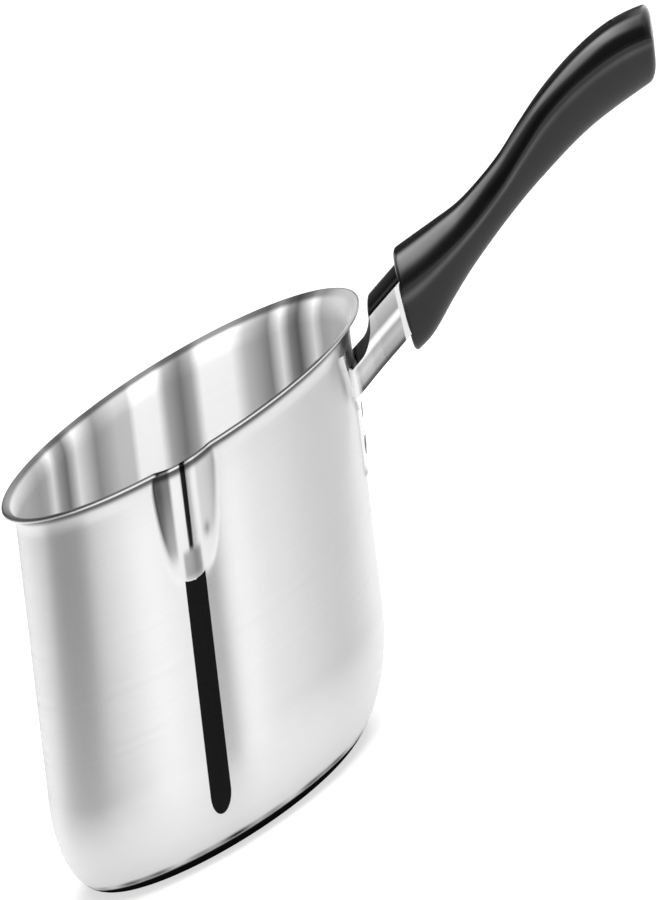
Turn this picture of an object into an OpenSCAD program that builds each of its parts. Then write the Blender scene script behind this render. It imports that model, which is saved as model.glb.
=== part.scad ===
// Melting pot: a small stainless steel pan with a pouring spout and one black moulded handle.
// Frame: origin at the centre of the base's underside, +Z up, +X along the handle, -Y towards the spout.

/* [Pot] */
// Inner diameter of the pot, mm
pot_inner_d = 160; // [140:1:200]
// Height from the base's underside to the top of the rim, mm
pot_height = 89; // [75:1:120]
// Thickness of the pot's sheet, mm
sheet = 0.8; // [0.6:0.1:1.2]
// Outer radius of the rounded corner between wall and base, mm
corner_r = 23.4; // [16:0.2:28]
// How far the rim flares out beyond the wall, mm
rim_flare = 5.7; // [4:0.1:8]

/* [Spout] */
// Radius of the pressed spout, mm
spout_r = 16.3; // [12:0.1:20]
// How far the spout stands out of the wall at the rim, mm
spout_reach = 9.6; // [6:0.1:12]
// Depth of the spout below the rim, mm
spout_depth = 27; // [18:0.5:34]
// Extra flare of the spout's pouring edge, mm
spout_flare = 1.8; // [1:0.1:3]

/* [Base] */
// Thickness of the whole layered base, mm
base_t = 3.0; // [2.4:0.1:4]
// Thickness of the base's outer cap, mm
cap_t = 0.6; // [0.4:0.1:1]

/* [Level strip] */
// Width of the strip below the spout, mm
strip_w = 9.7; // [5:0.1:12]
// Thickness of the strip, mm
strip_t = 0.4; // [0.3:0.1:0.8]
// Height of the strip's rounded lower end above the table, mm
strip_low = 10.2; // [8:0.2:30]

/* [Bracket] */
// Rise of the bracket and handle front above level, degrees
rise = 13; // [8:0.5:18]
// Outer width of the channel at the handle, mm
channel_w = 28; // [24:0.5:32]
// Outer width of the channel where it meets the pot, mm
channel_flare_w = 35; // [30:0.5:40]
// Height of the channel's side walls, mm
channel_h = 12.5; // [9:0.1:14]
// Thickness of the bracket's sheet, mm
bracket_t = 1.2; // [1:0.1:1.6]
// Length of the flat tang that the handle hides, mm
tang_len = 18; // [14:1:20]
// Width of that tang, mm
tang_w = 16; // [12:0.5:18]

/* [Handle] */
// Half width of the grip at its front, mm
grip_front_hw = 16.8; // [16.4:0.1:18]
// Half width of the grip at its waist, mm
grip_waist_hw = 10.6; // [9:0.1:13]
// Half width of the grip at its tail, mm
grip_tail_hw = 13.6; // [11:0.1:16]
// Width of the hanging slot, mm
slot_w = 5; // [4:0.1:7]

/* [Screw] */
// Nominal thread diameter of the handle's screw, mm
screw_d = 4; // [4:0.5:5]

/* [Hidden] */
$fn = 96;

wall_r = pot_inner_d / 2 + 0.6;          // outer radius of the straight wall
in_r = wall_r - sheet;
flat_r = wall_r - corner_r;              // where the rounded corner begins on the underside
base_r = flat_r + sqrt(pow(corner_r, 2) - pow(corner_r - base_t, 2));  // edge of the base stack
lip_in = 4.9;                            // radius under the flared rim
lip_z = pot_height - lip_in - sheet;     // height at which the rim starts to flare
rim_r = wall_r + rim_flare;
lean = atan(spout_reach / spout_depth);  // outward lean of the spout's axis
spout_tip = pot_height - spout_depth;
cap_in_r = flat_r + sqrt(pow(corner_r - cap_t, 2) - pow(corner_r - base_t, 2));

// Bracket frame: x along the channel, z square to its floor
bx = wall_r + 2.4;
bz = 71.9;
floor_in = 24;                           // channel length from the bracket frame to the handle's face
wall_end = floor_in + 4;                 // the side walls stop just inside the handle
tang_end = floor_in + tang_len;
fit = 0.12;                              // moulding clearance around the channel
tongue_x = 1.2;                          // where the moulding begins inside the channel
tongue_top = 14.6;                       // highest line of that moulding above the channel's floor
scoop_low = 6.3;                         // height left of the side walls at the pot
scoop_r = 6.8;
scoop_x = 3.7;                           // where the scoop starts to curve upwards

// Screw, set square to the channel's floor
screw_x = 34;
seat = 1.5;                              // plastic between the channel's floor and the screw's seat
washer_t = 0.9;
head_d = 2 * screw_d;
head_h = 2.4;
insert_d = 6.6;
insert_low = bracket_t + 0.4;
insert_len = 7;

// Grip stations: distance from the pot's axis, top, side edge and bottom heights
st_x = [106.4, 116, 127, 137, 147, 158, 168, 179, 190, 201, 212, 222, 233];
st_top = [95.6, 96.2, 96.9, 97.7, 99.7, 102.8, 106.8, 110.7, 113.6, 115.6, 116.7, 116.7, 115.9];
st_edge = [88.3, 88.9, 90.1, 91.6, 93.8, 97.2, 101.3, 105.5, 108.3, 110.0, 110.9, 111.0, 110.3];
st_low = [72.6, 74.4, 78.7, 82.4, 85.6, 88.8, 91.4, 93.8, 96.0, 97.7, 98.7, 99.3, 99.9];
rings = 40;
crown_n = 14;
side_n = 9;
front_round = 2.2;
tail_round = 3.6;
slot_x0 = 198.5;
slot_x1 = 215;

// ---------- helpers ----------
module in_bracket_frame() translate([bx, 0, bz]) rotate([0, -rise, 0]) children();

// Everything on one side of the pot's outer skin, grown by g
module pot_outline(g = 0) {
  union() {
    translate([0, corner_r]) square([wall_r + g, lip_z - corner_r]);
    translate([0, -g]) square([flat_r, corner_r + g]);
    intersection() {
      translate([flat_r, corner_r]) circle(r = corner_r + g);
      translate([0, -g]) square([wall_r + g, corner_r + g]);
    }
  }
}

module pot_hollow() {
  union() {
    translate([0, corner_r]) square([in_r, lip_z - corner_r + 0.01]);
    translate([0, base_t + sheet]) square([flat_r, corner_r - base_t - sheet + 0.01]);
    intersection() {
      translate([flat_r, corner_r]) circle(r = corner_r - sheet);
      translate([0, base_t + sheet]) square([in_r, corner_r - base_t - sheet + 0.01]);
    }
  }
}

module lip_section() {
  difference() {
    translate([in_r, lip_z]) square([rim_r - in_r - sheet / 2, lip_in + sheet]);
    translate([wall_r + lip_in, lip_z]) circle(r = lip_in);
    difference() {
      translate([in_r - 1, lip_z]) square([lip_in + sheet + 1, lip_in + sheet + 1]);
      translate([wall_r + lip_in, lip_z]) circle(r = lip_in + sheet);
    }
    translate([wall_r + lip_in, lip_z - 1]) square([rim_flare, lip_in + 1]);
  }
  translate([rim_r - sheet / 2, pot_height - sheet / 2]) circle(r = sheet / 2);
}

// Leaning round bar that forms the spout; r is its radius
module spout_bar(r) {
  translate([0, -(wall_r - spout_r / cos(lean)), spout_tip])
    rotate([lean, 0, 0])
      translate([0, 0, -30]) cylinder(r = r, h = 80, $fn = 128);
}

// ---------- pot ----------
module pot_body() color("Silver") {
  difference() {
    union() {
      rotate_extrude($fn = 200) difference() {
        pot_outline();
        square([base_r, base_t]);
        pot_hollow();
      }
      rotate_extrude($fn = 200) lip_section();
      intersection() {
        spout_bar(spout_r);
        translate([0, 0, spout_tip - 4]) cylinder(r = wall_r + 20, h = pot_height - spout_tip + 4, $fn = 200);
        translate([-40, -110, 0]) cube([80, 60, pot_height]);
      }
      // flared pouring edge
      translate([0, -(wall_r - spout_r + spout_reach), pot_height - 2.4])
        cylinder(r1 = spout_r - 0.2, r2 = spout_r + spout_flare, h = 2.4, $fn = 128);
    }
    // room inside the pot, up to and past the rim
    translate([0, 0, corner_r]) cylinder(r = in_r, h = pot_height, $fn = 200);
    intersection() {
      spout_bar(spout_r - sheet);
      translate([-40, -110, spout_tip - 4]) cube([80, 60, 60]);
    }
    translate([0, -(wall_r - spout_r + spout_reach), pot_height - 2.4])
      cylinder(r1 = spout_r - 0.2 - sheet, r2 = spout_r + spout_flare - sheet, h = 2.401, $fn = 128);
  }
}

// ---------- layered base ----------
module base_core() color("Gainsboro") rotate_extrude($fn = 200) difference() {
  intersection() {
    translate([0, cap_t]) square([wall_r, base_t - cap_t]);
    union() {
      square([flat_r, base_t]);
      translate([flat_r, corner_r]) circle(r = corner_r - cap_t);
    }
  }
  translate([cap_in_r - 0.6, 0]) square([20, base_t + 1]);
}

module base_cap() color("Silver") rotate_extrude($fn = 200) difference() {
  intersection() {
    square([wall_r, base_t]);
    union() {
      square([flat_r, base_t]);
      translate([flat_r, corner_r]) circle(r = corner_r);
    }
  }
  translate([0, cap_t]) square([flat_r, base_t]);
  intersection() {
    translate([0, cap_t]) square([wall_r, base_t]);
    translate([flat_r, corner_r]) circle(r = corner_r - cap_t);
  }
}

// ---------- strip ----------
module level_strip() color("Black") difference() {
  intersection() {
    rotate_extrude($fn = 200) difference() {
      pot_outline(strip_t);
      pot_outline(0);
    }
    translate([0, -60, 0]) rotate([90, 0, 0]) linear_extrude(60) union() {
      translate([0, strip_low + strip_w / 2]) circle(d = strip_w);
      translate([-strip_w / 2, strip_low + strip_w / 2])
        square([strip_w, spout_tip + 2 - strip_low - strip_w / 2]);
    }
  }
  spout_bar(spout_r + 0.2);
}

// ---------- bracket ----------
module plan_shape(t) polygon([
  [-12, -channel_flare_w / 2 + t], [2, -channel_flare_w / 2 + 1.2 + t],
  [8, -channel_w / 2 - 0.8 + t], [13, -channel_w / 2 + t], [wall_end, -channel_w / 2 + t],
  [wall_end, channel_w / 2 - t], [13, channel_w / 2 - t], [8, channel_w / 2 + 0.8 - t],
  [2, channel_flare_w / 2 - 1.2 - t], [-12, channel_flare_w / 2 - t]]);

// Side view of the scoop that leaves the notch between pot and channel; g shrinks it
module scoop(g) {
  mid_z = scoop_low + scoop_r + g / 2;
  translate([-12, scoop_low + g]) square([12 + scoop_x, 20]);
  translate([scoop_x, mid_z]) circle(r = scoop_r - g / 2);
  translate([-12, mid_z]) square([12 + scoop_x + scoop_r - g / 2, 20]);
}

module channel() {
  difference() {
    intersection() {
      translate([0, 0, -5]) linear_extrude(30) plan_shape(0);
      translate([0, 40, 0]) rotate([90, 0, 0]) linear_extrude(80) difference() {
        translate([-12, 0]) square([wall_end + 12, channel_h]);
        scoop(0);
      }
    }
    translate([0, 0, bracket_t]) linear_extrude(30) plan_shape(bracket_t);
  }
  // flat tang that carries the screw
  translate([wall_end - 1, -tang_w / 2, 0]) cube([tang_end - wall_end + 1 - tang_w / 2, tang_w, bracket_t]);
  translate([tang_end - tang_w / 2, 0, 0]) cylinder(d = tang_w, h = bracket_t);
}

module flange_outline() union() {
  polygon([[-31, 86.5], [-23, 86.5], [-15, 76], [15, 76], [23, 86.5], [31, 86.5], [19, 72.5],
           [10, 68], [9, 57], [-9, 57], [-10, 68], [-19, 72.5]]);
  translate([-5, 57]) circle(r = 4);
  translate([5, 57]) circle(r = 4);
  translate([-5, 53]) square([10, 5]);
}

weld_at = [[-5.2, 59.5], [5.2, 59.5], [0, 66.5], [-23, 81], [23, 81]];

module weld_axis(p) rotate([0, 0, asin(p[0] / wall_r)]) translate([0, 0, p[1]]) rotate([0, 90, 0]) children();

module handle_bracket() color("Gainsboro") difference() {
  union() {
    difference() {
      in_bracket_frame() channel();
      cylinder(r = wall_r + 0.6, h = 120, $fn = 200);
    }
    intersection() {
      difference() {
        translate([0, 0, 40]) cylinder(r = wall_r + bracket_t, h = 60, $fn = 200);
        translate([0, 0, 30]) cylinder(r = wall_r, h = 80, $fn = 200);
      }
      translate([50, 0, 0]) rotate([90, 0, 90]) linear_extrude(60) flange_outline();
    }
  }
  for (p = weld_at) weld_axis(p) translate([0, 0, wall_r - 2]) cylinder(r = 2.1, h = 8, $fn = 32);
  translate([0, 0, lip_z]) cylinder(r = rim_r, h = 20, $fn = 200);
  in_bracket_frame() translate([screw_x, 0, -1]) cylinder(d = screw_d + 0.5, h = 4, $fn = 48);
}

module weld_nuggets() color("DimGray") for (p = weld_at) difference() {
  weld_axis(p) intersection() {
    translate([0, 0, wall_r - 2]) cylinder(r = 2.1, h = 6, $fn = 32);
    translate([0, 0, wall_r + bracket_t + 0.35 - 8]) sphere(r = 8, $fn = 64);
  }
  translate([0, 0, 30]) cylinder(r = wall_r, h = 80, $fn = 200);
}

// ---------- handle ----------
// Smooth curve through the stations
function seg(x, i = 0) = i >= len(st_x) - 2 || x < st_x[i + 1] ? i : seg(x, i + 1);
function slope(v, i) = i == 0 ? (v[1] - v[0]) / (st_x[1] - st_x[0])
  : i == len(v) - 1 ? (v[i] - v[i - 1]) / (st_x[i] - st_x[i - 1])
  : (v[i + 1] - v[i - 1]) / (st_x[i + 1] - st_x[i - 1]);
function curve(v, x) = let(i = seg(x), d = st_x[i + 1] - st_x[i], t = (x - st_x[i]) / d,
  m0 = slope(v, i) * d, m1 = slope(v, i + 1) * d)
  (2 * pow(t, 3) - 3 * t * t + 1) * v[i] + (pow(t, 3) - 2 * t * t + t) * m0
  + (3 * t * t - 2 * pow(t, 3)) * v[i + 1] + (pow(t, 3) - t * t) * m1;

grip_x0 = st_x[0];
grip_x1 = st_x[len(st_x) - 1];
function smooth(t) = let(c = min(1, max(0, t))) c * c * (3 - 2 * c);
function half_w(x) = x < 152
  ? grip_front_hw + (grip_waist_hw - grip_front_hw) * smooth((x - 112) / 40)
  : grip_waist_hw + (grip_tail_hw - grip_waist_hw) * smooth((x - 152) / 60);

// Ring positions crowd together at both rounded ends
function ring_x(i) = i < 6 ? grip_x0 + front_round * (1 - cos(i * 15))
  : i > rings - 6 ? grip_x1 - tail_round * (1 - cos((rings - i) * 15))
  : grip_x0 + front_round + (i - 6) / (rings - 12) * (grip_x1 - grip_x0 - front_round - tail_round);
function inset(x) = let(a = max(0, front_round - (x - grip_x0)), b = max(0, tail_round - (grip_x1 - x)))
  front_round - sqrt(max(0, pow(front_round, 2) - a * a))
  + tail_round - sqrt(max(0, pow(tail_round, 2) - b * b));

function ring_points(x) = let(n = inset(x), w = half_w(x) - n, zt = curve(st_top, x) - n,
  ze = curve(st_edge, x) - n * 0.3, zb = curve(st_low, x) + n, zm = (zt + zb) / 2,
  tip = tan(14) * (1 - smooth((x - 112) / 90)),
  q = 0.35 + 0.25 * smooth((x - 108) / 30), k = 0.08 + 0.2 * smooth((x - 108) / 30))
  [for (p = concat(
    [for (j = [0:crown_n]) let(s = 1 - 2 * j / crown_n) [w * s, zt - (zt - ze) * pow(abs(s), 2.4)]],
    [for (j = [1:side_n]) let(a = 90 * j / side_n, c = pow(cos(a), q), h = pow(sin(a), 0.8))
      [-w * c * (1 - k * h), ze - (ze - zb) * h]],
    [for (j = [side_n - 1:-1:1]) let(a = 90 * j / side_n, c = pow(cos(a), q), h = pow(sin(a), 0.8))
      [w * c * (1 - k * h), ze - (ze - zb) * h]]))
    [x - (p[1] - zm) * tip, p[0], p[1]]];

ring_n = crown_n + 2 * side_n;

module grip_body() {
  pts = [for (i = [0:rings]) each ring_points(ring_x(i))];
  faces = concat(
    [[for (j = [0:ring_n - 1]) j]],
    [for (i = [0:rings - 1]) for (j = [0:ring_n - 1]) let(k = (j + 1) % ring_n)
      each [[i * ring_n + j, (i + 1) * ring_n + j, (i + 1) * ring_n + k],
            [i * ring_n + j, (i + 1) * ring_n + k, i * ring_n + k]]],
    [[for (j = [ring_n - 1:-1:0]) rings * ring_n + j]]);
  polyhedron(points = pts, faces = faces, convexity = 6);
}

// Part of the moulding that fills the channel between pot and grip
module tongue() intersection() {
  translate([0, 0, bracket_t + fit]) linear_extrude(30)
    polygon([[tongue_x, -channel_w / 2 + bracket_t + fit], [wall_end + 1, -channel_w / 2 + bracket_t + fit],
             [wall_end + 1, channel_w / 2 - bracket_t - fit], [tongue_x, channel_w / 2 - bracket_t - fit]]);
  translate([0, 40, 0]) rotate([90, 0, 0]) linear_extrude(80) difference() {
    translate([tongue_x, 1]) square([wall_end + 1 - tongue_x, 15]);
    scoop(0.8);
  }
  translate([0, 0, tongue_top - 60]) rotate([0, 90, 0]) cylinder(r = 60, h = 60, $fn = 200);
}

module handle_grip() color("DarkSlateGray") difference() {
  union() {
    difference() {
      grip_body();
      // slot for the channel and its tang
      in_bracket_frame() translate([0, -channel_w / 2 - fit, -fit])
        cube([wall_end + fit, channel_w + 2 * fit, channel_h + 2 * fit]);
      in_bracket_frame() translate([0, 0, -fit]) {
        translate([0, -tang_w / 2 - fit, 0]) cube([tang_end - tang_w / 2, tang_w + 2 * fit, bracket_t + 2 * fit]);
        translate([tang_end - tang_w / 2, 0, 0]) cylinder(d = tang_w + 2 * fit, h = bracket_t + 2 * fit);
      }
    }
    in_bracket_frame() tongue();
  }
  // screw hole and its recess, square to the channel
  in_bracket_frame() translate([screw_x, 0, -20]) cylinder(d = screw_d + 0.4, h = 20 + insert_low, $fn = 48);
  in_bracket_frame() translate([screw_x, 0, -20]) cylinder(d = head_d + 1.6, h = 20 - seat, $fn = 64);
  in_bracket_frame() translate([screw_x, 0, insert_low - 0.3]) cylinder(d = insert_d, h = insert_len + 0.3, $fn = 64);
  // hanging slot
  translate([0, 0, 80]) linear_extrude(60) union() {
    translate([slot_x0 + slot_w / 2, 0]) circle(d = slot_w, $fn = 48);
    translate([slot_x1 - slot_w / 2, 0]) circle(d = slot_w, $fn = 48);
    translate([slot_x0 + slot_w / 2, -slot_w / 2]) square([slot_x1 - slot_x0 - slot_w, slot_w]);
  }
}

module threaded_insert() color("Goldenrod") in_bracket_frame() translate([screw_x, 0, insert_low]) difference() {
  cylinder(d = insert_d, h = insert_len, $fn = 64);
  translate([0, 0, -1]) cylinder(d = screw_d + 0.1, h = insert_len + 2, $fn = 48);
}

module handle_screw() color("Silver") in_bracket_frame() translate([screw_x, 0, -seat - washer_t]) union() {
  cylinder(d = screw_d, h = seat + washer_t + insert_low + insert_len - 1, $fn = 48);
  difference() {
    translate([0, 0, -head_h]) cylinder(d = head_d, h = head_h, $fn = 64);
    // cross recess
    translate([-2.2, -0.4, -head_h - 1]) cube([4.4, 0.8, 2.4]);
    translate([-0.4, -2.2, -head_h - 1]) cube([0.8, 4.4, 2.4]);
  }
}

module spring_washer() color("DimGray") in_bracket_frame() translate([screw_x, 0, -seat - washer_t]) difference() {
  cylinder(d = head_d - 0.8, h = washer_t, $fn = 64);
  translate([0, 0, -1]) cylinder(d = screw_d + 0.2, h = 3, $fn = 48);
  // split
  translate([0, -0.35, -1]) cube([6, 0.7, 3]);
}

pot_body();
base_core();
base_cap();
level_strip();
handle_bracket();
weld_nuggets();
handle_grip();
threaded_insert();
handle_screw();
spring_washer();
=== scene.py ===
"""Looks of the melting pot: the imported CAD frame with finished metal, mouldings, floor, light and camera.

Everything is in metres, in the frame of the CAD: origin at the centre of the base's underside,
+Z up, +X along the handle, -Y towards the pouring spout. The grip's own lists are in millimetres.
"""
import bpy
import math
from mathutils import Matrix, Vector


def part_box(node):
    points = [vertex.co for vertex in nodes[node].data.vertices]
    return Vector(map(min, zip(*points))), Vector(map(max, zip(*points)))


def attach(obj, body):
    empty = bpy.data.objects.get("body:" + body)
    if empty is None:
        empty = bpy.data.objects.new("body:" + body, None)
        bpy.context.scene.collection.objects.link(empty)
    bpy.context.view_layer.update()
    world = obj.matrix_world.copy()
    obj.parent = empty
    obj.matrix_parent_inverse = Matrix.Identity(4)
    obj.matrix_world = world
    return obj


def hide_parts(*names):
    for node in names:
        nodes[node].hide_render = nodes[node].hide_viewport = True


MM = 0.001
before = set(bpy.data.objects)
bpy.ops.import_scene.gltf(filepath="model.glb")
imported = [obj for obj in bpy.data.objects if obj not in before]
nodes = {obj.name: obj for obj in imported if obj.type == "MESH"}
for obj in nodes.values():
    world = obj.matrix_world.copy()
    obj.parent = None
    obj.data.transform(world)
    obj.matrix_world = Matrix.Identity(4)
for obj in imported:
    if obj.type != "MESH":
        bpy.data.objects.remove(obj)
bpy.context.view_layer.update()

# ---------- sizes, from the frame and the sheet-metal facts of the part ----------
pot_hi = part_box("pot_body")[1]
cap_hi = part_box("base_cap")[1]

SHEET = 0.8 * MM
RIM_FLARE = 5.7 * MM
LIP_RADIUS = 4.9 * MM
CORNER_R = 23.4 * MM
SPOUT_R = 16.3 * MM
SPOUT_DEPTH = 27 * MM
SPOUT_REACH = 9.6 * MM

height = pot_hi.z
rim_r = pot_hi.x
wall_r = rim_r - RIM_FLARE
base_t = cap_hi.z
base_r = cap_hi.x
flat_r = wall_r - CORNER_R
lip_z = height - LIP_RADIUS - SHEET
spout_half_y = SPOUT_R / math.cos(math.atan(SPOUT_REACH / SPOUT_DEPTH))

# The bracket's own frame: x along the channel, z square to its floor
RISE = math.radians(13)
BRACKET_GAP = 2.4 * MM
BRACKET_Z = 71.9 * MM
CHANNEL_HALF = 14 * MM
CHANNEL_HEIGHT = 12.5 * MM
SCREW_X = 34 * MM
RECESS_R = 4.8 * MM
RECESS_DEPTH = 1.5 * MM
bracket_start = Vector((wall_r + BRACKET_GAP, 0, BRACKET_Z))
bracket_matrix = Matrix.Translation(bracket_start) @ Matrix.Rotation(-RISE, 4, "Y")


# ---------- small helpers ----------
def smoothstep(a, b, x):
    """0 on the side of a, 1 on the side of b, and a smooth change between them."""
    t = min(1.0, max(0.0, (x - a) / (b - a)))
    return t * t * (3 - 2 * t)


def soft_max(a, b, k):
    """The larger of two numbers, with the corner rounded over a width k."""
    h = max(0.0, k - abs(a - b)) / k
    return max(a, b) + h * h * k * 0.25


def bell(x, centre, width):
    """1 at the centre, falling smoothly to nothing a few widths away."""
    return math.exp(-((x - centre) / width) ** 2)


def new_mesh(name, points, faces):
    """A smooth-shaded object made from points and faces, linked to the scene."""
    mesh = bpy.data.meshes.new(name)
    mesh.from_pydata([tuple(p) for p in points], [], faces)
    mesh.validate()
    mesh.update()
    for polygon in mesh.polygons:
        polygon.use_smooth = True
    obj = bpy.data.objects.new(name, mesh)
    bpy.context.scene.collection.objects.link(obj)
    return obj


def loft(rings, closed_ends=True):
    """Points and faces of closed rings joined one to the next."""
    n = len(rings[0])
    points = [p for ring in rings for p in ring]
    faces = []
    for i in range(len(rings) - 1):
        for j in range(n):
            k = (j + 1) % n
            faces.append((i * n + j, i * n + k, (i + 1) * n + k, (i + 1) * n + j))
    if closed_ends:
        faces.append(tuple(reversed(range(n))))
        last = (len(rings) - 1) * n
        faces.append(tuple(range(last, last + n)))
    return points, faces


def apply_modifiers(obj):
    """Bakes the object's modifiers into its mesh."""
    graph = bpy.context.evaluated_depsgraph_get()
    baked = bpy.data.meshes.new_from_object(obj.evaluated_get(graph))
    obj.modifiers.clear()
    obj.data = baked


def cut(obj, cutter):
    """Takes the cutter's volume out of the object and deletes the cutter."""
    mod = obj.modifiers.new("cut", "BOOLEAN")
    mod.operation = "DIFFERENCE"
    mod.solver = "EXACT"
    mod.object = cutter
    apply_modifiers(obj)
    bpy.data.objects.remove(cutter)


def shade_by_angle(obj, degrees):
    """Smooth shading with crisp edges where faces meet at more than the given angle."""
    obj.data.shade_smooth()
    obj.data.set_sharp_from_angle(angle=math.radians(degrees))


def dress(obj, material):
    """Gives the object this one material."""
    obj.data.materials.clear()
    obj.data.materials.append(material)


# ---------- node helpers ----------
class Nodes:
    """A node tree with short ways to add nodes and links."""

    def __init__(self, tree):
        self.tree = tree
        tree.nodes.clear()

    def add(self, kind, **settings):
        node = self.tree.nodes.new(kind)
        for key, value in settings.items():
            setattr(node, key, value)
        return node

    def link(self, source, target):
        self.tree.links.new(source, target)

    def fill(self, node, values):
        """Sets or links the node's inputs in turn, skipping those given as None."""
        for i, value in enumerate(values):
            if value is None:
                continue
            if isinstance(value, (int, float)):
                node.inputs[i].default_value = value
            else:
                self.link(value, node.inputs[i])
        return node.outputs[0]

    def math(self, operation, a, b=None):
        return self.fill(self.add("ShaderNodeMath", operation=operation), (a, b))

    def combine(self, x, y, z):
        return self.fill(self.add("ShaderNodeCombineXYZ"), (x, y, z))

    def split(self, vector):
        """The three parts of a vector."""
        node = self.add("ShaderNodeSeparateXYZ")
        self.link(vector, node.inputs[0])
        return node.outputs

    def radius(self, x, y):
        """Distance from the pot's axis."""
        return self.math("SQRT", self.math("ADD", self.math("MULTIPLY", x, x), self.math("MULTIPLY", y, y)))

    def ramp(self, factor, stops, interpolation="LINEAR"):
        """A colour ramp through (position, grey or colour) stops."""
        node = self.add("ShaderNodeValToRGB")
        node.color_ramp.interpolation = interpolation
        elements = node.color_ramp.elements
        while len(elements) > 1:
            elements.remove(elements[-1])
        for i, (position, value) in enumerate(stops):
            element = elements[0] if i == 0 else elements.new(position)
            element.position = position
            rgb = value if isinstance(value, tuple) else (value,) * 3
            element.color = (*rgb, 1)
        self.link(factor, node.inputs[0])
        return node.outputs[0]

    def noise(self, vector, scale, detail=2.0):
        node = self.add("ShaderNodeTexNoise")
        node.inputs["Scale"].default_value = scale
        node.inputs["Detail"].default_value = detail
        node.inputs["Roughness"].default_value = 0.5
        self.link(vector, node.inputs["Vector"])
        return node.outputs[0]

    def bump(self, height_socket, strength, distance):
        node = self.add("ShaderNodeBump")
        node.inputs["Strength"].default_value = strength
        node.inputs["Distance"].default_value = distance
        self.link(height_socket, node.inputs["Height"])
        return node.outputs[0]

    def map_range(self, value, lo, hi, to_lo, to_hi):
        node = self.add("ShaderNodeMapRange")
        self.link(value, node.inputs["Value"])
        for key, number in zip(("From Min", "From Max", "To Min", "To Max"), (lo, hi, to_lo, to_hi)):
            node.inputs[key].default_value = number
        return node.outputs[0]

    def blend(self, factor, a, b, kind="MIX"):
        """Two colours mixed, multiplied or added; each is a socket or a grey."""
        node = self.add("ShaderNodeMix", data_type="RGBA", blend_type=kind)
        if isinstance(factor, float):
            node.inputs["Factor"].default_value = factor
        else:
            self.link(factor, node.inputs["Factor"])
        for key, value in (("A", a), ("B", b)):
            if isinstance(value, float):
                node.inputs[key].default_value = (value, value, value, 1)
            else:
                self.link(value, node.inputs[key])
        return node.outputs["Result"]

    def multiply(self, a, b):
        return self.blend(1.0, a, b, "MULTIPLY")


def new_material(name, metallic=0.0):
    """A material with a Principled shader; returns it with its nodes, shader and object coordinates."""
    material = bpy.data.materials.new(name)
    material.use_nodes = True
    n = Nodes(material.node_tree)
    shader = n.add("ShaderNodeBsdfPrincipled")
    shader.inputs["Metallic"].default_value = metallic
    out = n.add("ShaderNodeOutputMaterial")
    n.link(shader.outputs[0], out.inputs[0])
    place = n.add("ShaderNodeTexCoord").outputs["Object"]
    return material, n, shader, place


# ---------- materials ----------
LINE_SCALE = 2600
LINE_TONE = 0.05
LINE_BUMP = 0.05
FLOOR_TONE = 0.75
INSIDE_WALL = (5 * MM, 26 * MM)


def turned_steel(name, tone, rough, anisotropy, painted_bands=None, metallic=1.0):
    """Polished sheet with fine lines around the pot's axis, which stretch reflections up and down.

    The mesh's colour attribute darkens the colour with painted reflections and painted shade on the rim, the
    spout, the foot and beside the bracket; the bands give a painted reflection that changes slowly around the
    pot and fades out towards the pot's floor."""
    material, n, shader, place = new_material(name, metallic)
    x, y, z = n.split(place)
    lines = n.noise(n.combine(n.radius(x, y), 0.0, z), LINE_SCALE, detail=3)
    cloud = n.noise(place, 18)
    grey = n.math("ADD", n.math("MULTIPLY", lines, LINE_TONE), n.math("MULTIPLY", cloud, LINE_TONE * 0.6))
    low = tone * (1 - LINE_TONE)
    high = min(1.0, tone * (1 + LINE_TONE))
    colour = n.ramp(grey, [(0.2 * LINE_TONE, low), (1.3 * LINE_TONE, high)])
    # Painted reflections and painted shade, kept as a colour on the mesh
    painted_reflection_and_shade = n.add("ShaderNodeAttribute", attribute_name="painted_reflection_and_shade").outputs["Color"]
    colour = n.multiply(colour, painted_reflection_and_shade)
    if painted_bands:
        # Painted reflection bands around the pot, faded out towards its floor
        turn = n.math("ARCTAN2", x, n.math("ABSOLUTE", y))
        tones = n.ramp(n.math("ADD", n.math("DIVIDE", turn, math.pi), 0.5), painted_bands)
        on_wall = n.map_range(z, *INSIDE_WALL, 0.0, 1.0)
        colour = n.multiply(colour, n.blend(on_wall, FLOOR_TONE, tones))
    n.link(colour, shader.inputs["Base Color"])
    n.link(n.map_range(lines, 0.3, 0.7, rough * 0.92, rough * 1.08), shader.inputs["Roughness"])
    shader.inputs["Anisotropic"].default_value = anisotropy
    shader.inputs["Anisotropic Rotation"].default_value = 0.25
    tangent = n.add("ShaderNodeTangent", direction_type="RADIAL", axis="Z")
    n.link(tangent.outputs[0], shader.inputs["Tangent"])
    n.link(n.bump(lines, LINE_BUMP, 0.02 * MM), shader.inputs["Normal"])
    return material


def plain_metal(name, tone, rough, mottle=0.08, scale=400, bump=0.08):
    """Stamped or plated metal with a fine mottle in its tone, gloss and surface."""
    material, n, shader, place = new_material(name, metallic=1.0)
    grain = n.noise(place, scale, detail=4)
    low = tuple(c * (1 - mottle) for c in tone)
    high = tuple(min(1.0, c * (1 + mottle)) for c in tone)
    n.link(n.ramp(grain, [(0.3, low), (0.7, high)]), shader.inputs["Base Color"])
    n.link(n.map_range(grain, 0.3, 0.7, rough * 0.85, rough * 1.15), shader.inputs["Roughness"])
    n.link(n.bump(grain, bump, 0.03 * MM), shader.inputs["Normal"])
    return material


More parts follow.
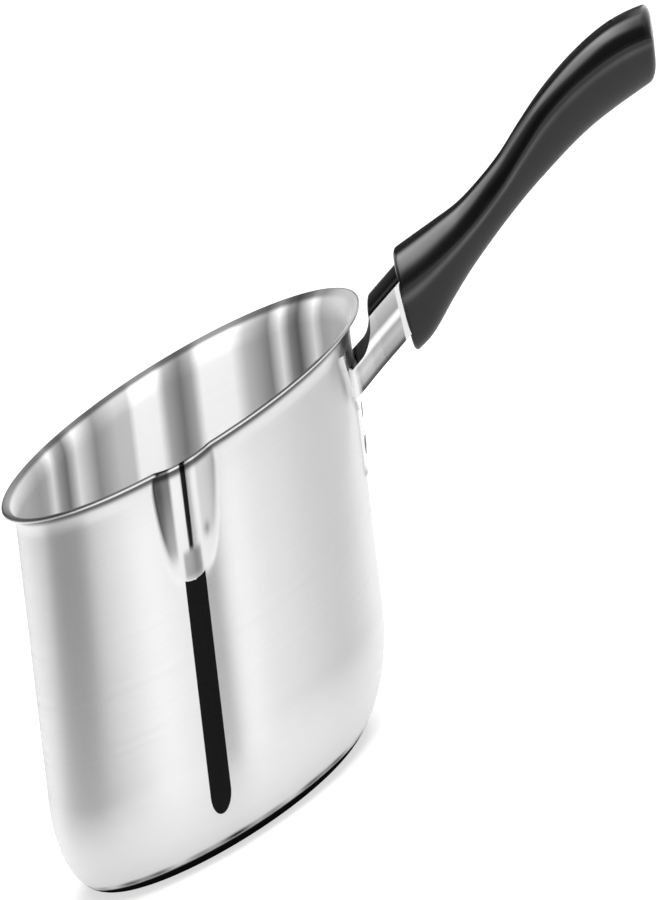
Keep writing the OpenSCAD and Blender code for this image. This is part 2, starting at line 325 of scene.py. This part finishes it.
def moulded_black(name, specular=0.36):
    """Phenolic moulding whose finish follows the mesh's side value.

    The crown (0) is glossy, the sides (1) are satin with a fine grain, and above 1 they turn lighter, which
    the grip uses for a painted highlight along the top of its sides."""
    material, n, shader, place = new_material(name)
    side = n.add("ShaderNodeAttribute", attribute_name="side").outputs["Fac"]
    grain = n.noise(place, 2400, detail=3)
    cloud = n.noise(place, 60)
    # Side values above 1 add a painted highlight to the colour
    tone = n.math("ADD", n.map_range(side, 0, 1, 0.001, 0.005), n.map_range(side, 1, 2, 0.0, 0.075))
    tone = n.math("MULTIPLY", tone, n.map_range(cloud, 0.3, 0.7, 0.75, 1.25))
    n.link(n.combine(tone, tone, tone), shader.inputs["Base Color"])
    n.link(n.map_range(side, 0, 1, 0.14, 0.46), shader.inputs["Roughness"])
    relief = n.math("MULTIPLY", n.math("ADD", n.math("MULTIPLY", side, 0.8), 0.05), grain)
    n.link(n.bump(relief, 0.25, 0.05 * MM), shader.inputs["Normal"])
    shader.inputs["Specular IOR Level"].default_value = specular
    return material


def strip_black(name):
    """Thin black film, smooth with a very fine orange peel: a black strip standing in for a dark reflection
    on the wall, so a painted reflection.
    """
    material, n, shader, place = new_material(name)
    peel = n.noise(place, 900)
    n.link(n.ramp(peel, [(0.3, 0.004), (0.7, 0.006)]), shader.inputs["Base Color"])
    n.link(n.map_range(peel, 0.3, 0.7, 0.34, 0.42), shader.inputs["Roughness"])
    shader.inputs["Specular IOR Level"].default_value = 0.05
    n.link(n.bump(peel, 0.06, 0.03 * MM), shader.inputs["Normal"])
    return material


def cap_steel(name):
    """The base's cap: steel on its flat underside, and a matt black rounded edge painted in as the shade
    under the pot's foot.
    """
    material, n, shader, place = new_material(name)
    x, y, z = n.split(place)
    grain = n.noise(place, 500, detail=3)
    # Painted shade: outside the flat underside, the rounded edge turns matt black
    below = n.map_range(z, base_t - 0.4 * MM, base_t, 1.0, 0.0)
    edge = n.math("MULTIPLY", n.map_range(n.radius(x, y), flat_r, flat_r + 1 * MM, 0.0, 1.0), below)
    tone = n.map_range(edge, 0.0, 1.0, 0.5, 0.004)
    tone = n.math("MULTIPLY", tone, n.map_range(grain, 0.3, 0.7, 0.8, 1.2))
    n.link(n.combine(tone, tone, tone), shader.inputs["Base Color"])
    n.link(n.math("SUBTRACT", 1.0, edge), shader.inputs["Metallic"])
    n.link(n.map_range(grain, 0.3, 0.7, 0.32, 0.42), shader.inputs["Roughness"])
    shader.inputs["Specular IOR Level"].default_value = 0.0
    n.link(n.bump(grain, 0.1, 0.03 * MM), shader.inputs["Normal"])
    return material


# Painted reflection and shade on the channel's side walls by height, as a share of the wall
BRACKET_PAINTED_BANDS = [
    (0.0, 0.04), (0.06, 0.12), (0.12, 0.34), (0.30, 0.5), (0.44, 0.38), (0.52, 0.95), (0.58, 0.95),
    (0.66, 0.34), (0.9, 0.5), (1.0, 0.6),
]
BRACKET_TONE = 0.76
BANDS_BEGIN = (-1 * MM, 1 * MM)
BANDS_END = (23.3 * MM, 23.7 * MM)


def bracket_steel(name):
    """Pressed channel steel: each side wall carries painted reflections in long dark and bright bands, and
    painted shade along its foot.
    """
    material, n, shader, place = new_material(name, metallic=1.0)
    mapping = n.add("ShaderNodeMapping", vector_type="TEXTURE")
    mapping.inputs["Location"].default_value = bracket_start
    mapping.inputs["Rotation"].default_value = (0, -RISE, 0)
    n.link(place, mapping.inputs["Vector"])
    along, across, up = n.split(mapping.outputs[0])
    # Painted reflection bands, with painted shade at the foot, on the outer faces only
    painted_bands = n.ramp(n.map_range(up, 0, CHANNEL_HEIGHT, 0, 1), BRACKET_PAINTED_BANDS)
    outer = n.map_range(n.math("ABSOLUTE", across), CHANNEL_HALF - 1.6 * MM, CHANNEL_HALF - 0.8 * MM, 0, 1)
    begin = n.map_range(along, *BANDS_BEGIN, 0, 1)
    end = n.map_range(along, *BANDS_END, 1, 0)
    grain = n.noise(place, 500, detail=3)
    share = n.math("MULTIPLY", outer, n.math("MULTIPLY", begin, end))
    n.link(n.blend(share, BRACKET_TONE, painted_bands), shader.inputs["Base Color"])
    n.link(n.map_range(grain, 0.3, 0.7, 0.18, 0.24), shader.inputs["Roughness"])
    n.link(n.bump(grain, 0.05, 0.03 * MM), shader.inputs["Normal"])
    return material


# Painted reflections on the inside around the pot, as a tone by degrees from the middle of the side towards
# the handle
INSIDE_PAINTED_REFLECTIONS = [
    (-90, 0.6), (-72, 0.55), (-60, 0.42), (-56, 0.5), (-52, 0.95), (-49, 0.42), (-45, 0.2), (-42, 0.6),
    (-40, 0.95), (-36, 0.62), (-32, 0.3), (-24, 0.6), (-19, 0.6), (-17, 1.0), (-9, 1.0), (-6, 0.42),
    (-1, 0.18), (3, 0.38), (6, 1.0), (17, 1.0), (22, 0.56), (31, 0.26), (36, 1.0), (40, 0.3), (44, 0.13),
    (48, 0.55), (52, 1.0), (57, 0.5), (65, 0.6), (90, 0.7),
]
inside_painted_bands = [(0.5 + degrees / 180, tone) for degrees, tone in INSIDE_PAINTED_REFLECTIONS]
materials = {
    "pot_body": turned_steel("polished_steel", 0.745, 0.42, 0.92),
    "pot_inside": turned_steel("polished_steel_inside", 0.98, 0.40, 0.92, inside_painted_bands, metallic=0.3),
    "base_cap": cap_steel("base_steel"),
    "base_core": plain_metal("aluminium_core", (0.80, 0.80, 0.81), 0.4),
    "level_strip": strip_black("strip_black"),
    "handle_bracket": bracket_steel("bracket_steel"),
    "weld_nuggets": plain_metal("weld_steel", (0.12, 0.12, 0.12), 0.42, mottle=0.25, scale=900, bump=0.4),
    "handle_grip": moulded_black("grip_black"),
    "grip_tongue": moulded_black("grip_black_dull", specular=0.03),
    "threaded_insert": plain_metal("insert_brass", (0.72, 0.52, 0.22), 0.3),
    "handle_screw": plain_metal("screw_steel", (0.62, 0.62, 0.63), 0.3),
}
materials["spring_washer"] = materials["handle_screw"]

for name, obj in nodes.items():
    for slot in obj.material_slots:
        slot.material = materials[name]


# ---------- pot: one pressed shell ----------
def spout_reach_at(z):
    """How far the spout stands out of the wall at height z: full at the rim, none at its rounded tip."""
    t = min(1.0, max(0.0, (height - z) / SPOUT_DEPTH))
    return SPOUT_REACH * (1 - t ** 1.3) ** 0.8


def spout_radius(angle, z, inset):
    """Distance from the pot's axis to the spout's skin, angle measured from the spout's own direction."""
    a, b = SPOUT_R - inset, spout_half_y - inset
    centre = wall_r - spout_half_y + spout_reach_at(z)
    s, c = math.sin(angle) / a, math.cos(angle) / b
    k = centre / b
    disc = (c * k) ** 2 - (s * s + c * c) * (k * k - 1)
    return 0.0 if disc < 0 else (c * k + math.sqrt(disc)) / (s * s + c * c)


def arc(cx, cz, radius, start, end, count):
    """Points on an arc in the (radius, height) plane, angles in degrees from the outward direction."""
    turns = [math.radians(start + (end - start) * i / count) for i in range(count + 1)]
    return [(cx + radius * math.cos(t), cz + radius * math.sin(t)) for t in turns]


def wall_run(r, z0, z1, count):
    """Points on a straight upright wall, without its two ends."""
    return [(r, z0 + (z1 - z0) * i / count) for i in range(1, count)]


def pot_profile():
    """The shell's section as (radius, height, inner skin?), from under the base over the rim inwards."""
    in_r = wall_r - SHEET
    lip_x = wall_r + LIP_RADIUS
    floor_z = base_t + SHEET
    seam = math.degrees(math.acos((base_r - flat_r) / CORNER_R))
    outer = [(0, base_t), (flat_r * 0.5, base_t), (flat_r, base_t)]
    outer += arc(flat_r, CORNER_R, CORNER_R, -seam, 0, 22)
    outer += wall_run(wall_r, CORNER_R, lip_z, 76)
    outer += arc(lip_x, lip_z, LIP_RADIUS, 180, 90, 12)
    edge = arc(rim_r - SHEET / 2, height - SHEET / 2, SHEET / 2, -90, 90, 6)
    inner = arc(lip_x, lip_z, LIP_RADIUS + SHEET, 90, 180, 14)
    inner += wall_run(in_r, lip_z, CORNER_R, 76)
    inner += arc(flat_r, CORNER_R, CORNER_R - SHEET, 0, -60, 18)
    fillet_end = flat_r * 0.92
    last_r, last_z = inner[-1]
    for i in range(1, 9):
        t = i / 8
        settle = 1 - (1 - t) ** 2
        inner.append((last_r + (fillet_end - last_r) * t, last_z + (floor_z - last_z) * settle))
    inner += [(flat_r * 0.5, floor_z), (0, floor_z)]
    return [(r, z, False) for r, z in outer + edge] + [(r, z, True) for r, z in inner]


def pot_angles():
    """Directions around the pot, close together across the spout and wider elsewhere."""
    fine, edge = 0.3, 15
    near = [math.radians(-edge + fine * i) for i in range(int(2 * edge / fine) + 1)]
    rest = 360 - 2 * edge
    count = int(rest / 1.5)
    return near + [math.radians(edge + rest * i / count) for i in range(1, count)]


def rim_painted_reflection(r, z, inner, towards_handle):
    """Painted reflection on the rim: darker on its flat top, less so towards the handle, and painted shade
    under the rolled edge.
    """
    if inner or z > height - 0.25 * MM:
        depth = 0.82 * (1 - 0.8 * smoothstep(0.75, 0.95, towards_handle))
        return 1 - depth * smoothstep(height - 1.3 * MM, height - 0.5 * MM, z)
    if r > rim_r - 0.5 * MM:
        return 1.0
    return 1 - 0.85 * smoothstep(height - 3.0 * MM, height - 1.6 * MM, z)


def notch_painted_shade(r, z, towards_handle):
    """Painted shade on the wall beside the bracket, dark where the moulding stands close to it."""
    if r >= wall_r + 1.5 * MM:
        return 1.0
    return 1 - 0.9 * smoothstep(0.98, 0.99, towards_handle) * smoothstep(73 * MM, 76 * MM, z)


def seam_painted_reflection(z, angle):
    """Painted dark reflection where the wall turns into the base's cap: a dark line of uneven strength just
    above the cap.
    """
    uneven = 0.55 + 0.25 * math.sin(9 * angle + 1) + 0.2 * math.sin(23 * angle)
    return 1 - uneven * smoothstep(4.3 * MM, 3.5 * MM, z)


def spout_painted_reflection(x, z, bulge):
    """Painted reflections across the spout's skin: x across, z up, bulge out of the wall."""
    share = smoothstep(0.2 * MM, 1.2 * MM, bulge)
    if share == 0:
        return 1.0
    across = x / MM
    up = smoothstep(68 * MM, 88 * MM, z)
    # Each factor below is a painted dark reflection: the left flank, a band on that flank, the centre line,
    # the right flank, a small hook low on the right, and the rounded tip.
    left = 1 - (0.45 + 0.3 * up) * smoothstep(-5.6, -7.4, across) * smoothstep(66 * MM, 71 * MM, z)
    flank_reflection = 1 - 0.8 * bell(bulge / MM, 1.3, 0.6) * smoothstep(-5, -7, across) * up
    half_line = 0.75 + 0.4 * up
    line = 1 - 0.98 * smoothstep(half_line + 0.4, half_line, abs(across)) * smoothstep(68 * MM, 70 * MM, z)
    right = 1 - 0.2 * smoothstep(5, 6.5, across) * smoothstep(68 * MM, 72 * MM, z)
    hook_reflection = 1 - 0.5 * bell(across, 8, 1.2) * bell(z / MM, 71.5, 1.4)
    tip = 1 - 0.5 * smoothstep(70 * MM, 68 * MM, z) * smoothstep(4.8, 3.4, abs(across))
    return 1 - share * (1 - left * flank_reflection * line * right * hook_reflection * tip)


def pot_ring(r, z, inner, angles):
    """One turn around the pot at this radius and height, bulged by the spout, with the tone of each point."""
    inset = SHEET if inner else 0
    flare = max(0.0, r - (wall_r - inset))
    near_spout = z > height - SPOUT_DEPTH - 1 * MM
    ring = []
    tones = []
    for angle in angles:
        off = angle if angle < math.pi else angle - 2 * math.pi
        out = r
        if near_spout and abs(off) < 0.4:
            out = soft_max(r, spout_radius(off, z, inset) + 0.3 * flare, 1.6 * MM)
        ring.append((out * math.sin(angle), -out * math.cos(angle), z))
        # Painted reflection and painted shade on the rim, the foot, the spout and beside the bracket
        tone = rim_painted_reflection(r, z, inner, math.sin(angle))
        if not inner:
            tone *= seam_painted_reflection(z, angle) * spout_painted_reflection(out * math.sin(off), z, out - r)
            tone *= notch_painted_shade(r, z, math.sin(angle))
        tones.append(tone)
    return ring, tones


def make_pot():
    """The pot's body as one closed shell, with its inner skin in a material of its own."""
    angles = pot_angles()
    profile = pot_profile()
    made = [pot_ring(r, z, inner, angles) for r, z, inner in profile[1:-1]]
    points, faces = loft([ring for ring, _ in made], closed_ends=False)
    n = len(angles)
    bottom, top = len(points), len(points) + 1
    points += [(0, 0, profile[0][1]), (0, 0, profile[-1][1])]
    last = (len(made) - 1) * n
    for j in range(n):
        k = (j + 1) % n
        faces.append((bottom, k, j))
        faces.append((top, last + j, last + k))
    pot = new_mesh("pot_shell", points, faces)
    # The painted reflections and painted shade of each point, kept as a colour on the mesh
    tones = [v for _, values in made for v in values] + [1.0, 1.0]
    layer = pot.data.color_attributes.new("painted_reflection_and_shade", "FLOAT_COLOR", "POINT")
    layer.data.foreach_set("color", [c for v in tones for c in (v, v, v, 1.0)])
    shade_by_angle(pot, 50)
    dress(pot, materials["pot_body"])
    pot.data.materials.append(materials["pot_inside"])
    first_inner = next(i for i, p in enumerate(profile[1:-1]) if p[2]) * n
    inside = []
    for polygon in pot.data.polygons:
        in_skin = min(polygon.vertices) >= first_inner or bottom < max(polygon.vertices)
        inside.append(1 if in_skin else 0)
    pot.data.polygons.foreach_set("material_index", inside)
    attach(pot, "root")
    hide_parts("pot_body")


# ---------- grip ----------
# Stations along the grip: distance from the pot's axis, top, side edge and bottom heights, in mm
STATIONS = [
    (106.4, 95.6, 88.3, 72.6),
    (116, 96.2, 88.9, 74.4),
    (127, 96.9, 90.1, 78.7),
    (137, 97.7, 91.6, 82.4),
    (147, 99.7, 93.8, 85.6),
    (158, 102.8, 97.2, 88.8),
    (168, 106.8, 101.3, 91.4),
    (179, 110.7, 105.5, 93.8),
    (190, 113.6, 108.3, 96),
    (201, 115.6, 110, 97.7),
    (212, 116.7, 110.9, 98.7),
    (222, 116.7, 111, 99.3),
    (233, 115.9, 110.3, 99.9),
]
TOP, EDGE, LOW = 1, 2, 3
GRIP_START = STATIONS[0][0]
GRIP_END = STATIONS[-1][0]
FRONT_HALF, WAIST_HALF, TAIL_HALF = 16.8, 10.6, 13.6
FRONT_X, WAIST_X, TAIL_X = 112, 152, 212
FRONT_ROUND, TAIL_ROUND = 2.2, 3.6
FRONT_TIP = math.tan(math.radians(14))
SLOT_START, SLOT_END, SLOT_WIDTH = 198.5, 215, 5
SLOT_BOTTOM, SLOT_FLARE_Z, SLOT_TOP, SLOT_FLARE = 90, 114.6, 118, 1.2


def curve(column, x):
    """Smooth value of one station column at distance x."""
    xs = [s[0] for s in STATIONS]
    v = [s[column] for s in STATIONS]
    i = max(0, min(len(xs) - 2, sum(x >= t for t in xs) - 1))

    def slope(j):
        a, b = max(0, j - 1), min(len(xs) - 1, j + 1)
        return (v[b] - v[a]) / (xs[b] - xs[a])

    d = xs[i + 1] - xs[i]
    t = (x - xs[i]) / d
    return (
        (2 * t ** 3 - 3 * t * t + 1) * v[i]
        + (t ** 3 - 2 * t * t + t) * slope(i) * d
        + (3 * t * t - 2 * t ** 3) * v[i + 1]
        + (t ** 3 - t * t) * slope(i + 1) * d
    )


def grip_half_width(x):
    """Half width in plan: broad at the front, a waist, and broader again at the tail."""
    if x < WAIST_X:
        return FRONT_HALF + (WAIST_HALF - FRONT_HALF) * smoothstep(FRONT_X, WAIST_X, x)
    return WAIST_HALF + (TAIL_HALF - WAIST_HALF) * smoothstep(WAIST_X, TAIL_X, x)


def end_inset(depth, radius):
    """How far a rounded end draws the section in, at this depth behind its face."""
    a = max(0.0, radius - depth)
    return radius - math.sqrt(max(0.0, radius * radius - a * a))


def grip_ring(x):
    """One cross-section of the grip and its points' side values: 0 on the crown, 2 to 1 down the sides, the
    values above 1 making a painted highlight along the top of each side.
    """
    inset = end_inset(x - GRIP_START, FRONT_ROUND) + end_inset(GRIP_END - x, TAIL_ROUND)
    half = grip_half_width(x) - inset
    top = curve(TOP, x) - inset
    edge = curve(EDGE, x) - inset * 0.3
    low = curve(LOW, x) + inset
    mid = (top + low) / 2
    tip = FRONT_TIP * (1 - smoothstep(112, 202, x))
    square = 0.35 + 0.25 * smoothstep(108, 138, x)
    pull = 0.08 + 0.2 * smoothstep(108, 138, x)
    arch = 2.4 - 0.55 * smoothstep(180, 164, x)
    crown_n, side_n = 28, 18
    section = []
    for j in range(crown_n + 1):
        s = 1 - 2 * j / crown_n
        value = 0.0 if abs(s) < 0.999 else 0.5
        section.append((half * s, top - (top - edge) * abs(s) ** arch, value))
    sides = [90 * j / side_n for j in range(1, side_n + 1)]
    for sign, angles in ((-1, sides), (1, sides[-2::-1])):
        for a in angles:
            c = max(0.0, math.cos(math.radians(a))) ** square
            h = math.sin(math.radians(a)) ** 0.8
            # A painted highlight line along the top of each side, fainter towards the tail
            value = 1 + bell(h, 0.11, 0.08) * (1 - 0.5 * smoothstep(140, 190, x))
            section.append((sign * half * c * (1 - pull * h), edge - (edge - low) * h, value))
    ring = [(x - (z - mid) * tip, y, z) for y, z, _ in section]
    return [tuple(v * MM for v in p) for p in ring], [s for _, _, s in section]


def grip_places():
    """Distances of the grip's cross-sections, close together at both rounded ends."""
    front = [GRIP_START + FRONT_ROUND * (1 - math.cos(math.radians(a))) for a in range(0, 90, 10)]
    back = [GRIP_END - TAIL_ROUND * (1 - math.cos(math.radians(a))) for a in range(80, -1, -10)]
    start, end = GRIP_START + FRONT_ROUND, GRIP_END - TAIL_ROUND
    count = 90
    return front + [start + (end - start) * i / count for i in range(count + 1)] + back


def slot_cutter():
    """The hanging slot's volume, round at both ends and a little wider where it leaves the crown."""
    half = SLOT_WIDTH / 2
    rings = []
    for z, grow in ((SLOT_BOTTOM, 0.0), (SLOT_FLARE_Z, 0.0), (SLOT_TOP, SLOT_FLARE)):
        r = half + grow
        ring = []
        for centre, start in ((SLOT_END - half, -90), (SLOT_START + half, 90)):
            for i in range(13):
                a = math.radians(start + 180 * i / 12)
                ring.append((centre + r * math.cos(a), r * math.sin(a), z))
        rings.append([tuple(v * MM for v in p) for p in ring])
    points, faces = loft(rings)
    return new_mesh("cutter", points, faces)


def round_cutter(radius, z0, z1, sides=48):
    """A round cutter along z."""
    rings = []
    for z in (z0, z1):
        turns = [2 * math.pi * i / sides for i in range(sides)]
        rings.append([(radius * math.cos(t), radius * math.sin(t), z) for t in turns])
    points, faces = loft(rings)
    return new_mesh("cutter", points, faces)


def make_grip():
    """The grip lofted through its sections, with its hanging slot and the screw's recess."""
    made = [grip_ring(x) for x in grip_places()]
    points, faces = loft([ring for ring, _ in made])
    grip = new_mesh("grip", points, faces)
    side = grip.data.attributes.new("side", "FLOAT", "POINT")
    side.data.foreach_set("value", [v for _, values in made for v in values])
    cut(grip, slot_cutter())
    recess = round_cutter(RECESS_R, -20 * MM, -RECESS_DEPTH)
    recess.data.transform(bracket_matrix @ Matrix.Translation((SCREW_X, 0, 0)))
    cut(grip, recess)
    shade_by_angle(grip, 38)
    dress(grip, materials["handle_grip"])
    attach(grip, "root")
    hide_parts("handle_grip")


# The tongue's side view in the bracket's frame, in mm: flat, a round scoop up to the crown, then level
TONGUE_START = 1.2
TONGUE_HALF = 12.6
TONGUE_FLOOR = 1.4
TONGUE_CROWN = 14.4
SCOOP_LOW = 7.2
SCOOP_X = 3.7
SCOOP_R = 6.3


def tongue_line():
    """Top edge of the tongue from the pot towards the grip."""
    line = [(TONGUE_START, SCOOP_LOW), (SCOOP_X, SCOOP_LOW)]
    for i in range(1, 13):
        a = math.radians(-90 + 7.5 * i)
        line.append((SCOOP_X + SCOOP_R * math.cos(a), SCOOP_LOW + SCOOP_R * (1 + math.sin(a))))
    line.append((10.5, TONGUE_CROWN - 0.3))
    return line + [(11.2 + 2 * i, TONGUE_CROWN) for i in range(11)]


def make_tongue():
    """The part of the moulding that fills the channel between pot and grip."""
    across = [-1, -0.985, -0.93, -0.75, -0.4, 0, 0.4, 0.75, 0.93, 0.985, 1]
    rings = []
    for x, z in tongue_line():
        ring = [(x, TONGUE_HALF * s, z - 0.9 * abs(s) ** 8 - 0.5 * s * s) for s in across]
        ring += [(x, TONGUE_HALF, TONGUE_FLOOR), (x, -TONGUE_HALF, TONGUE_FLOOR)]
        rings.append([tuple(v * MM for v in p) for p in ring])
    points, faces = loft(rings)
    tongue = new_mesh("grip_tongue", points, faces)
    local_z = [v.co.z for v in tongue.data.vertices]
    tongue.data.transform(bracket_matrix)
    shade_by_angle(tongue, 40)
    side = tongue.data.attributes.new("side", "FLOAT", "POINT")
    side.data.foreach_set("value", [0.2 + 1.2 * smoothstep(13.6, 12.4, z / MM) for z in local_z])
    dress(tongue, materials["grip_tongue"])
    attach(tongue, "root")


make_pot()
make_grip()
make_tongue()


# ---------- floor and light ----------
FLOOR_SIZE = 6.0
FLOOR_GLOW = 0.66
CARD_START = 0.14


def make_floor():
    """A white light table: pale, and lit from below, so that shadows on it stay faint."""
    count = 64
    turns = [2 * math.pi * i / count for i in range(count)]
    ring = [(FLOOR_SIZE * math.cos(t), FLOOR_SIZE * math.sin(t), 0) for t in turns]
    floor = new_mesh("floor", ring, [tuple(range(count))])
    floor.location.z = -0.05 * MM
    material, n, shader, place = new_material("floor_white")
    cloud = n.noise(place, 3)
    n.link(n.ramp(cloud, [(0.3, 0.42), (0.7, 0.44)]), shader.inputs["Base Color"])
    shader.inputs["Roughness"].default_value = 0.9
    shader.inputs["Emission Color"].default_value = (1, 1, 1, 1)
    shader.inputs["Emission Strength"].default_value = FLOOR_GLOW
    dress(floor, material)


def make_card(name, start, end, reach, grey):
    """A dull card on the floor, seen only in reflections, from one direction to another in degrees."""
    turns = [math.radians(start + (end - start) * i / 8) for i in range(9)]
    near = [(CARD_START * math.sin(t), -CARD_START * math.cos(t), 0) for t in turns]
    far = [(reach * math.sin(t), -reach * math.cos(t), 0) for t in reversed(turns)]
    card = new_mesh(name, near + far, [tuple(range(len(near + far)))])
    card.location.z = 1 * MM
    material, n, shader, place = new_material(name)
    cloud = n.noise(place, 3)
    n.link(n.ramp(cloud, [(0.3, grey * 0.95), (0.7, grey * 1.05)]), shader.inputs["Base Color"])
    shader.inputs["Roughness"].default_value = 0.9
    dress(card, material)
    card.visible_camera = False
    card.visible_diffuse = False
    card.visible_shadow = False


def make_overhead():
    """A large soft lamp above the pot that doesn't show in reflections."""
    lamp = bpy.data.lights.new("overhead", "AREA")
    lamp.shape = "RECTANGLE"
    lamp.size = 2.4
    lamp.size_y = 2.4
    lamp.energy = 37
    obj = bpy.data.objects.new("overhead", lamp)
    bpy.context.scene.collection.objects.link(obj)
    place, target = Vector((0.1, -0.2, 1.6)), Vector((0.05, 0, 0))
    obj.location = place
    obj.rotation_euler = (target - place).to_track_quat("-Z", "Y").to_euler()
    obj.visible_glossy = False


# Brightness of the room around the pot by direction, degrees from the spout's side towards the handle
ROOM = [
    (-180, 2.7), (-169, 2.4), (-162, 1.2), (-150, 1.0), (-130, 0.46), (-120, 0.28), (-110, 0.1),
    (-86, 0.08), (-78, 0.16), (-70, 0.45), (-62, 0.65), (-50, 1.05), (-38, 1.5), (-30, 1.6), (-18, 1.2),
    (0, 1.15), (5, 0.1), (13, 0.25), (20, 1.5), (30, 1.6), (39, 1.05), (66, 0.75), (80, 0.5), (96, 0.33),
    (108, 0.28), (120, 0.38), (130, 0.55), (140, 0.82), (150, 0.95), (160, 0.95), (172, 1.1), (180, 2.7),
]
CEILING = 0.06
# Shares of a full turn, from behind the pot past its left side, and heights on the unit sphere
DIM_TURN = [(0.0, 1.0), (0.05, 1.0), (0.075, 0.0), (0.98, 0.0), (1.0, 1.0)]
DIM_HEIGHT = (0.64, 0.77)
DIM_DEPTH = 0.96
WINDOW_TURN = [(0.0, 0.0), (0.02, 1.0), (0.1, 1.0), (0.13, 0.0)]
WINDOW_HEIGHT = [(0.66, 0.0), (0.76, 1.0), (0.92, 1.0), (0.96, 0.0)]
WINDOW_GLOW = 0.9


def make_room():
    """A soft room: its walls change brightness around the pot, its ceiling is dark.

    Low down behind the pot it is dim, and high up behind the handle it has a bright window."""
    world = bpy.data.worlds.new("room")
    bpy.context.scene.world = world
    world.use_nodes = True
    n = Nodes(world.node_tree)
    x, y, z = n.split(n.add("ShaderNodeTexCoord").outputs["Generated"])
    turn = n.math("ARCTAN2", x, n.math("MULTIPLY", y, -1.0))
    share = n.math("ADD", n.math("DIVIDE", turn, 2 * math.pi), 0.5)
    peak = max(v for _, v in ROOM)
    walls = n.ramp(share, [(0.5 + a / 360, v / peak) for a, v in ROOM])
    lift = n.ramp(z, [(0.0, 0.0), (0.93, 0.0), (0.98, 1.0)], "EASE")
    room = n.blend(lift, walls, CEILING)
    low = n.map_range(z, *DIM_HEIGHT, 1.0, 0.0)
    behind = n.math("MULTIPLY", low, n.ramp(share, DIM_TURN))
    dim = n.math("SUBTRACT", 1.0, n.math("MULTIPLY", behind, DIM_DEPTH))
    room = n.multiply(room, n.combine(dim, dim, dim))
    window = n.math("MULTIPLY", n.ramp(share, WINDOW_TURN), n.ramp(z, WINDOW_HEIGHT))
    glow = n.math("MULTIPLY", window, WINDOW_GLOW)
    room = n.blend(1.0, room, n.combine(glow, glow, glow), "ADD")
    background = n.add("ShaderNodeBackground")
    background.inputs["Strength"].default_value = peak
    n.link(room, background.inputs["Color"])
    out = n.add("ShaderNodeOutputWorld")
    n.link(background.outputs[0], out.inputs[0])


make_floor()
make_card("left_flag", -104, -66, 3.0, 0.4)
make_card("front_flag", 0, 13, 0.55, 0.1)
make_room()
make_overhead()


# ---------- camera ----------
VIEW_TURN = math.radians(1.67)
VIEW_RISE = math.radians(7.51)
VIEW_ROLL = math.radians(-14.73)
PHOTO_STRETCH = 2.224
WIDTH_SHEAR = 1.2
VIEW_HEIGHT = 188.8 * MM
AIM_RIGHT = 58.7 * MM
AIM_UP = 33.0 * MM
CAMERA_DISTANCE = 2.4


def make_camera():
    """A parallel camera with a tilted film plane: the picture is taller than the object by PHOTO_STRETCH."""
    ct, st = math.cos(VIEW_TURN), math.sin(VIEW_TURN)
    ce, se = math.cos(VIEW_RISE), math.sin(VIEW_RISE)
    back = Vector((st * ce, -ct * ce, se))
    level_right = Vector((ct, st, 0))
    level_up = back.cross(level_right)
    cr, sr = math.cos(VIEW_ROLL), math.sin(VIEW_ROLL)
    right = level_right * cr + level_up * sr
    up = level_up * cr - level_right * sr
    aim = Vector((0, 0, height / 2)) + right * AIM_RIGHT + up * AIM_UP
    rigid = Matrix((right, up, back)).transposed().to_4x4()
    rigid.translation = aim + back * CAMERA_DISTANCE
    wide, tall = WIDTH_SHEAR, WIDTH_SHEAR * PHOTO_STRETCH
    film = Matrix.Identity(4)
    film[0][0], film[1][1] = 1 / wide, 1 / tall
    film[2][0], film[2][1] = -math.sqrt(wide * wide - 1) / wide, -math.sqrt(tall * tall - 1) / tall
    data = bpy.data.cameras.new("camera")
    data.type = "ORTHO"
    data.ortho_scale = VIEW_HEIGHT * tall
    data.clip_start, data.clip_end = 0.01, 60
    camera = bpy.data.objects.new("camera", data)
    holder = bpy.data.objects.new("film_tilt", None)
    for obj in (camera, holder):
        bpy.context.scene.collection.objects.link(obj)
    camera.parent = holder
    camera.matrix_parent_inverse = rigid @ film @ rigid.inverted()
    camera.matrix_basis = rigid
    bpy.context.scene.camera = camera


make_camera()
bpy.context.scene.view_settings.view_transform = "Standard"
